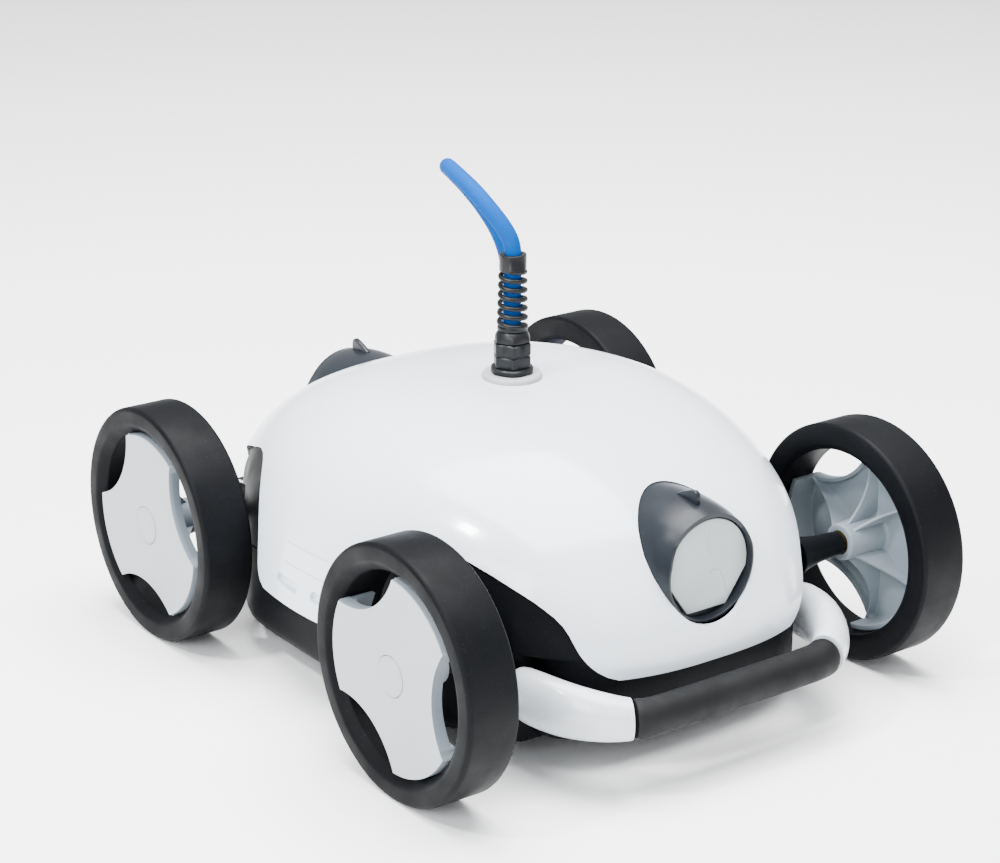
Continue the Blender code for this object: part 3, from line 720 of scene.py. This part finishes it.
for end, end_sign in ENDS:
    for side, side_sign in SIDES:
        where = end + "_" + side
        centre = (0, end_sign * 136, 75)
        section = rounded([(58.7, 151.6), (61.5, 150), (73.4, 150), (75, 151.6), (75, 181.4), (73.2, 183.5),
                           (64.2, 183.5), (58.7, 178)], [0.4, 0.8, 0.9, 0.9, 1.2, 1.4, 1.6, 0.8], 4)
        tyre = turned("tyre_skin_" + where, wheel_side(section, side_sign), "X", centre, "tyre", 160)
        stands_for(tyre, "wheel_" + where, "tyre", "tyre_" + where)
        cap = rounded([(0, 181), (11.8, 181), (11.8, 183.1), (10.9, 183.1), (10.6, 182.9), (10.3, 183.1),
                       (0, 183.25)], [0, 0.1, 0.3, 0.1, 0.1, 0.1, 0], 3)
        cap = turned("cap_skin_" + where, wheel_side(cap, side_sign), "X", centre, "hub", 64)
        stands_for(cap, "wheel_" + where, "hub_grey", "wheel_cap_" + where)
        arm = rounded([(0, 112.3), (13, 112.3), (10.6, 119), (8.2, 132), (7.4, 149.2), (4.5, 149.2),
                       (4.5, 176), (0, 176)], [0, 0.3, 4, 6, 0.8, 0.2, 0.6, 0], 4)
        arm = turned("arm_skin_" + where, wheel_side(arm, side_sign), "X", centre, "chassis", 64)
        stands_for(arm, "chassis", "chassis_black", "axle_arm_" + where)
print("4 tyres, 4 caps and 4 axle arms")

# %% Hubs with their walls and webs
BITE_DISTANCE, BITE_RADIUS = 90.3, 51.3


def web_template(side_sign, bend):
    """One curved web along +Y from the boss to the rim, tall at the boss and low halfway."""
    rings = []
    for k in range(15):
        f = k / 14
        s = 9.5 + 46.5 * f
        crest = 176.2 - 22.5 * (1 - f) ** 2.1 - 14 * max(0.0, f - 0.55) ** 1.5
        drift_side = bend * f * f
        half = 1.25 - 0.25 * f
        corners = [(crest, drift_side - half * 0.7), (crest, drift_side + half * 0.7),
                   (180.4, drift_side + half), (180.4, drift_side - half)]
        rings.append([(side_sign * x, s, z) for x, z in corners])
    return lofted("web", rings, "hub")


def bite_wall(side_sign, angle, centre):
    """The wall that stands along one bite, as a bent strip."""
    cx = centre[1] + BITE_DISTANCE * math.cos(angle)
    cz = centre[2] + BITE_DISTANCE * math.sin(angle)
    rings = []
    for k in range(25):
        f = k / 24
        a = angle + math.pi + math.radians(-37.6 + 75.2 * f)
        depth = 174.6 + 1.2 * math.sin(math.pi * f)
        ring = [(BITE_RADIUS + 0.05, depth), (BITE_RADIUS + 2.3, depth), (BITE_RADIUS + 2.6, 181),
                (BITE_RADIUS + 0.05, 181)]
        rings.append([(side_sign * x, cx + r * math.cos(a), cz + r * math.sin(a)) for r, x in ring])
    return lofted("wall", rings, "hub")


for end, end_sign in ENDS:
    for side, side_sign in SIDES:
        where = end + "_" + side
        centre = (0, end_sign * 136, 75)
        section = rounded([(7.4, 151.2), (11.4, 151.2), (13.4, 179.3), (54.9, 179.3), (54.9, 160),
                           (58, 160), (58, 182.8), (12.1, 182.8), (12.1, 180.5), (7.4, 180.5)],
                          [0.3, 0.8, 3, 1.2, 0.4, 0.4, 0.7, 0.3, 0.1, 0.2], 3)
        hub = turned("hub_skin_" + where, wheel_side(section, side_sign), "X", centre, "hub", 144)
        bites, walls = [], []
        for k in range(3):
            angle = math.pi - math.radians(HUB_PHASES[where] + 60 + 120 * k)
            spot = (0, centre[1] + BITE_DISTANCE * math.cos(angle),
                    centre[2] + BITE_DISTANCE * math.sin(angle))
            ends = wheel_side([(0, 140), (BITE_RADIUS, 140), (BITE_RADIUS, 190), (0, 190)], side_sign)
            bites.append(turned("bite_%d" % k, ends, "X", spot, "hub", 160))
            walls.append(bite_wall(side_sign, angle, centre))
        arm_angle = 180 - HUB_PHASES[where]
        webs = [ring_of("webs_a", web_template(side_sign, 19), 3, arm_angle + 12, "X", centre, "hub"),
                ring_of("webs_b", web_template(side_sign, -13), 3, arm_angle - 18, "X", centre, "hub")]
        combined(hub, webs, "UNION")
        combined(hub, bites)
        combined(hub, walls, "UNION")
        softened(hub, 0.35, 2, 50)
        # Faces that do not look outwards take the darker hub grey: painted shade on the hub's inner side.
        hub.data.materials.append(FINISH["hub_back"])
        for face in hub.data.polygons:
            face.material_index = int(face.normal.x * side_sign < 0.5)
        stands_for(hub, "wheel_" + where, "hub_grey", "hub_" + where)
        print("hub", where, "faces", len(hub.data.polygons))

# %% [markdown]
# ## Chassis
# Under the shell a black tub carries everything. Its sides follow the inside of the
# shell and show in the wheel arches. The tub is a loft of sections, wider in the middle
# and stepped in where the bumper bars join it. A thin seam runs along each side.


# %% Chassis tub
def dome_reach(y, z, inset):
    """How far out the shell's surface stands at a height, taken in by an inset."""
    rise = min(max(0.0, (z - 63) / (112 - inset)), 1.0)
    left = (1 - rise * rise) ** (1 / 1.38) - (abs(y) / (197 - inset)) ** 1.83
    return (160 - inset) * max(left, 0.002) ** (1 / 2.7)


def tub_section(y, low, up, zb, zt, wall=0.0, open_top=False):
    """One station: a rounded foot, a fine seam and a side that hugs the shell."""
    def reach(z):
        half = low + (up - low) * min(max((z - 69) / 2, 0.0), 1.0) - wall
        return (half ** -60 + dome_reach(y, z, 3.4 + wall) ** -60) ** (-1 / 60)

    foot, base, seam = 11 - wall / 2, zb + wall, min(70.0, zt - 3)
    corner = reach(base + foot)
    half = [(corner - foot + foot * math.sin(k * math.pi / 12),
             base + foot - foot * math.cos(k * math.pi / 12))
            for k in range(7)]
    half += [(reach(z), z) for z in (base + foot + (seam - 0.6 - base - foot) * k / 8 for k in range(1, 9))]
    half.append((reach(seam) - (0 if wall else 0.8), seam))
    half += [(reach(z), z) for z in (seam + 0.6 + (zt - seam - 0.6) * k / 22 for k in range(23))]
    if open_top:
        half.append((half[-1][0], zt + 30))
    return [(x, y, z) for x, z in half + [(-x, z) for x, z in reversed(half)]]


HALF_TUB = [(0, 141, 141, 14, 128), (44, 141, 141, 14, 128), (58, 141, 141, 14, 129),
            (70, 140.5, 140.5, 14, 133), (80, 140, 140, 14, 138), (88, 138.5, 138.5, 14, 139.5),
            (96, 135.5, 135.5, 14, 138.5), (104, 131.5, 131.5, 14, 136.5), (110, 127, 127, 14, 134.5),
            (116, 121.5, 121.5, 14, 132.5), (123, 116, 116, 14, 130.5), (131, 112, 112, 14, 127.5),
            (139, 109.5, 109.5, 14, 124.5), (144.4, 107.6, 107.6, 14.4, 121.5),
            (145.0, 107, 107.2, 15, 121), (145.2, 92.3, 107.1, 15, 121), (150, 91.8, 103.5, 15.4, 119),
            (156, 90.4, 98.5, 16.2, 115), (162, 88.2, 93.5, 17.4, 109.5), (167, 85.4, 89.5, 19, 104),
            (171.5, 82, 85, 20.6, 96), (175.5, 78.2, 80, 22.6, 88), (179, 74.4, 74.4, 24.6, 78),
            (182, 70, 70, 26.8, 71), (184.4, 64.5, 64.5, 29, 66.5)]
stations = [(-row[0], *row[1:]) for row in reversed(HALF_TUB[1:])] + HALF_TUB
tub = lofted("tub_skin", [tub_section(*row) for row in stations], "chassis", 30)
space = []
for y, *row in stations:
    if not 143 < abs(y) < 145.1:
        space.append(tub_section(y if abs(y) < 144 else math.copysign(abs(y) - 3, y), *row, 3, True))
room = lofted("tub_room", space, "chassis")
opening = pushed("lid_opening", [(-78, -112), (78, -112), (78, 112), (-78, 112)], "Z", 0, 30, "chassis")
pivots = [turned("latch_hole_" + end, [(0, 5), (4.4, 5), (4.4, 30), (0, 30)], "Z", (0, sign * 125, 0),
                 "chassis", 32)
          for end, sign in ENDS]
combined(tub, [room, opening] + pivots, angle=30)
stands_for(tub, "chassis", "chassis_black", "chassis_tub")
print("tub faces", len(tub.data.polygons))

# %% [markdown]
# ## Bumper bars
# A bar with a soft black grip and two flared white ends stands off each nose. The ends
# are lofts along a bent line, with a fine parting seam low on the outside where the
# two mould halves met. The grip is a little slimmer where it meets them.


# %% Bumper ends
BAR = [(0, 213.5, 47, 10.5, 10.7), (30, 213.5, 47, 10.5, 10.7), (52, 213.3, 47, 10.5, 10.8),
       (63, 212.7, 47.1, 10.6, 11.0), (71, 210.3, 47.3, 10.8, 11.8), (79, 205.6, 47.8, 11, 13.1),
       (87.5, 197.6, 48.5, 11.2, 14.6), (95, 187.3, 49.2, 11.3, 15.8), (100.4, 175.5, 49.8, 11.4, 16.5),
       (103.4, 163, 50, 11.2, 16.6), (104.3, 154, 50, 10.6, 15.8), (104.2, 149, 50, 9.4, 14.2),
       (104, 146.6, 50, 7.4, 11.4), (104, 145.5, 50, 5, 8)]
GRIP_STATIONS = 17
RING_ANGLES = sorted(set(range(0, 360, 10)) | {343.2, 345.0, 346.8})


def flowing(rows, steps):
    """Rows of numbers with steps more between each pair, along a smooth curve."""
    padded = [[2 * a - b for a, b in zip(rows[0], rows[1])]] + [list(r) for r in rows]
    padded += [[2 * a - b for a, b in zip(rows[-1], rows[-2])]]
    out = []
    for i in range(1, len(padded) - 2):
        for j in range(steps):
            t = j / steps
            out.append([0.5 * (2 * b + (c - a) * t + (2 * a - 5 * b + 4 * c - d) * t * t
                               + (3 * b - a - 3 * c + d) * t ** 3)
                        for a, b, c, d in zip(*padded[i - 1:i + 3])])
    out.append(list(rows[-1]))
    return out


def bar_ring(station, run, seam=0.45):
    x, y, z, half_depth, half_height = station
    across = Vector((run.y, -run.x, 0))
    ring = []
    for a in RING_ANGLES:
        shrink = seam if a == 345.0 else 0.0
        c, s = math.cos(math.radians(a)), math.sin(math.radians(a))
        p = Vector((x, y, z)) + across * (half_depth - shrink) * c
        ring.append((p.x, p.y, p.z + (half_height - shrink) * s))
    return ring


fine = flowing(BAR, 4)


def bar_rings(first, last, x_sign, y_sign, seam):
    rings = []
    for i in range(first, last):
        before, after = fine[max(i - 1, 0)], fine[min(i + 1, len(fine) - 1)]
        run = Vector((after[0] - before[0], after[1] - before[1], 0)).normalized()
        rings.append([(x_sign * x, y_sign * y, z) for x, y, z in bar_ring(fine[i], run, seam)])
    return rings


for end, end_sign in ENDS:
    for side, side_sign in SIDES:
        where = end + "_" + side
        rings = bar_rings(GRIP_STATIONS, len(fine), side_sign, end_sign, 0.45)
        bar = lofted("bumper_skin_" + where, rings, "bumper", 50)
        stands_for(bar, "chassis", "shell_white", "bumper_end_" + where)
    left, right = (bar_rings(0, GRIP_STATIONS, side_sign, end_sign, 0.0) for _, side_sign in SIDES)
    rings = list(reversed(left)) + right[1:]
    shrunk = []
    for edge in (rings[0], rings[-1]):
        middle = sum((Vector(p) for p in edge), Vector()) / len(edge)
        shrunk.append([tuple(middle + (Vector(p) - middle) * 0.93) for p in edge])
    grip = lofted("grip_skin_" + end, [shrunk[0]] + rings[1:-1] + [shrunk[1]], "grip", 50)
    stands_for(grip, "chassis", "grip_rubber", "bumper_grip_" + end)
print("bumper stations", len(fine))

# %% [markdown]
# ## Cable gland
# The gland clamps the cable where it enters the shell. A pale collar sits on the
# crown, then come a flange, a six-sided body, a domed nut with spanner flats and an
# open spiral that keeps the cable from bending sharply. A spiral follows a path, so a
# node tree sweeps a small oval section along a helix.


# %% Collar, body and nut
def faceted(name, levels, finish, sides=6, phase=0.0):
    """A many-sided bar through (across-flats radius, height, roundness) levels; roundness 1 is a circle."""
    rings = []
    for radius, z, round_share in levels:
        ring = []
        for k in range(96):
            a = 2 * math.pi * k / 96
            fold = (a - phase) % (2 * math.pi / sides) - math.pi / sides
            flat_reach = min(radius / math.cos(fold), radius * 1.125)
            reach_here = flat_reach * (1 - round_share) + radius * round_share
            ring.append((reach_here * math.cos(a), reach_here * math.sin(a), z))
        rings.append(ring)
    return lofted(name, rings, finish, 28)


collar = turned("collar_skin", rounded([(8.7, 174), (18.6, 174), (18.6, 176.6), (17.6, 178.2),
                                        (8.7, 178.2)],
                                       [0.1, 0.2, 1.2, 1.4, 0.3], 5), "Z", (0, 0, 0), "hub", 96)
stands_for(collar, "chassis", "hub_grey", "cable_collar")
body = faceted("gland_skin", [(8.2, 160.2, 1), (8.2, 178.4, 1), (12.6, 178.4, 1), (12.9, 179, 0.6),
                              (12.9, 181.2, 0.6), (12.3, 182, 0.8), (10.4, 182.3, 0.3), (10.7, 183, 0),
                              (10.7, 188.8, 0), (10.2, 189.4, 0.4), (10.2, 190, 0.4), (10.8, 190.6, 0),
                              (10.8, 196.8, 0), (10.3, 197.6, 0.5)], "gland")
bore = turned("gland_bore", [(0, 150), (6, 150), (6, 210), (0, 210)], "Z", (0, 0, 0), "gland", 48)
combined(body, [bore])
stands_for(body, "chassis", "chassis_black", "gland_body")
nut = faceted("nut_skin", [(10.0, 198, 0.6), (10.6, 198.5, 0.3), (10.6, 200.8, 0.5), (10.1, 202.6, 0.9),
                           (9.2, 204.2, 1), (8.2, 205.2, 1)], "gland")
bore = turned("nut_bore", [(0, 190), (5.8, 190), (5.8, 210), (0, 210)], "Z", (0, 0, 0), "gland", 48)
combined(nut, [bore])
stands_for(nut, "chassis", "chassis_black", "gland_nut")
print("gland faces", len(body.data.polygons) + len(nut.data.polygons))

# %% A tree for the spiral strain relief
spiral_tree, given = new_tree("strain_spiral", [
    ("Turns", "NodeSocketFloat"), ("Foot Radius", "NodeSocketFloat"), ("Top Radius", "NodeSocketFloat"),
    ("Height", "NodeSocketFloat"), ("Foot Height", "NodeSocketFloat"), ("Wire Radius", "NodeSocketFloat"),
    ("Material", "NodeSocketMaterial")])
helix = node(spiral_tree, "GeometryNodeCurveSpiral", {
    "Resolution": 40, "Rotations": given["Turns"], "Start Radius": given["Foot Radius"],
    "End Radius": given["Top Radius"], "Height": given["Height"]})
ring = node(spiral_tree, "GeometryNodeCurvePrimitiveCircle",
            {"Resolution": 14, "Radius": given["Wire Radius"]})
lift_up = node(spiral_tree, "ShaderNodeCombineXYZ", {2: given["Foot Height"]})
raised = node(spiral_tree, "GeometryNodeTransform",
              {"Geometry": helix.outputs[0], "Translation": lift_up.outputs[0]})
swept = node(spiral_tree, "GeometryNodeCurveToMesh",
             {"Curve": raised.outputs[0], "Profile Curve": ring.outputs[0],
                                                      "Fill Caps": True})
end_tree(spiral_tree, swept.outputs[0], given["Material"])
relief = grown("relief_skin", spiral_tree, {"Turns": 6.4, "Foot Radius": 8.25 * MM, "Top Radius": 7.35 * MM,
                                            "Height": 36.5 * MM, "Foot Height": 206.8 * MM,
                                            "Wire Radius": 1.55 * MM, "Material": FINISH["gland"]}, 50)
sleeve = turned("relief_sleeve", rounded([(5.5, 242), (8.3, 242), (8.3, 252.8), (5.5, 252.8)],
                                         [0.3, 0.9, 0.6, 0.3], 4),
                "Z", (0, 0, 0), "gland", 64)
foot = turned("relief_foot", rounded([(5.6, 205.4), (9.4, 205.4), (9.2, 207.8), (5.6, 207.8)], 0.4, 3), "Z",
              (0, 0, 0), "gland", 64)
combined(relief, [sleeve, foot], "UNION", 50)
stands_for(relief, "chassis", "chassis_black", "strain_relief")
print("strain relief faces", len(relief.data.polygons))

# %% [markdown]
# ## Finishes on the frame's own parts
# The inner parts, the lid and the latches keep the shapes of the engineering model.
# They only need their real materials, so each one's slots are filled from a short list.

# %% Dress the remaining parts
INNER = {
    "chassis": ["pump_deck", "motor_pod", "motor_cradle", "thrust_duct_front", "thrust_duct_rear"],
    "gland": ["gland_locknut"],
    "hood": ["bottom_lid", "lid_latch_front", "lid_latch_rear", "intake_flap_front", "intake_flap_rear"],
    "grip": ["gland_seal"],
    "propeller": ["propeller_front", "propeller_rear"],
    "foam": ["float_block_left", "float_block_right"],
    "steel": ["motor_shaft"],
    "brass": ["wheel_bush_%s_%s" % (end, side) for end, _ in ENDS for side, _ in SIDES],
    "mesh": ["filter_tray"],
}
for finish, names in INNER.items():
    for name in names:
        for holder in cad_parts[name].material_slots:
            holder.material = FINISH[finish]
print("dressed", sum(len(names) for names in INNER.values()), "parts")

# %% [markdown]
# ## Floor and light
# The floor is one pale sheet. A large soft light from above and one from the left give
# the shell its smooth fall of grey, and a small one makes the bright spot on its flank.

# %% Floor
bm = bmesh.new()
bmesh.ops.create_grid(bm, x_segments=1, y_segments=1, size=6)
floor_mesh = bpy.data.meshes.new("floor")
bm.to_mesh(floor_mesh)
bm.free()
paper = bpy.data.materials.new("pale_paper")
paper.use_nodes = True
shader = paper.node_tree.nodes["Principled BSDF"]
shader.inputs["Base Color"].default_value = (0.93, 0.93, 0.93, 1)
shader.inputs["Roughness"].default_value = 0.9
floor_mesh.materials.append(paper)
floor = bpy.data.objects.new("floor", floor_mesh)
bpy.context.scene.collection.objects.link(floor)

# %% Lights
world = bpy.data.worlds.new("studio")
world.use_nodes = True
world.node_tree.nodes["Background"].inputs["Color"].default_value = (0.96, 0.98, 1.0, 1)
world.node_tree.nodes["Background"].inputs["Strength"].default_value = 0.95
bpy.context.scene.world = world


def soft_light(name, place, target, size, power, tint=(1, 1, 1)):
    glow = bpy.data.lights.new(name, "AREA")
    glow.size = size
    glow.energy = power
    glow.color = tint
    lamp = bpy.data.objects.new(name, glow)
    aim = (Vector(target) - Vector(place)).to_track_quat("-Z", "Y")
    lamp.matrix_world = Matrix.Translation(place) @ aim.to_matrix().to_4x4()
    bpy.context.scene.collection.objects.link(lamp)
    return lamp


soft_light("overhead", (0.1, 0.0, 2.2), (0, 0, 0.1), 2.0, 265)
soft_light("left_window", (-2.0, -0.9, 1.3), (0, 0, 0.1), 1.2, 62, (0.95, 0.98, 1))
soft_light("flank_spot", (-1.008, -0.013, 1.455), (-0.109, -0.106, 0.135), 0.17, 26)
print("lights ready")
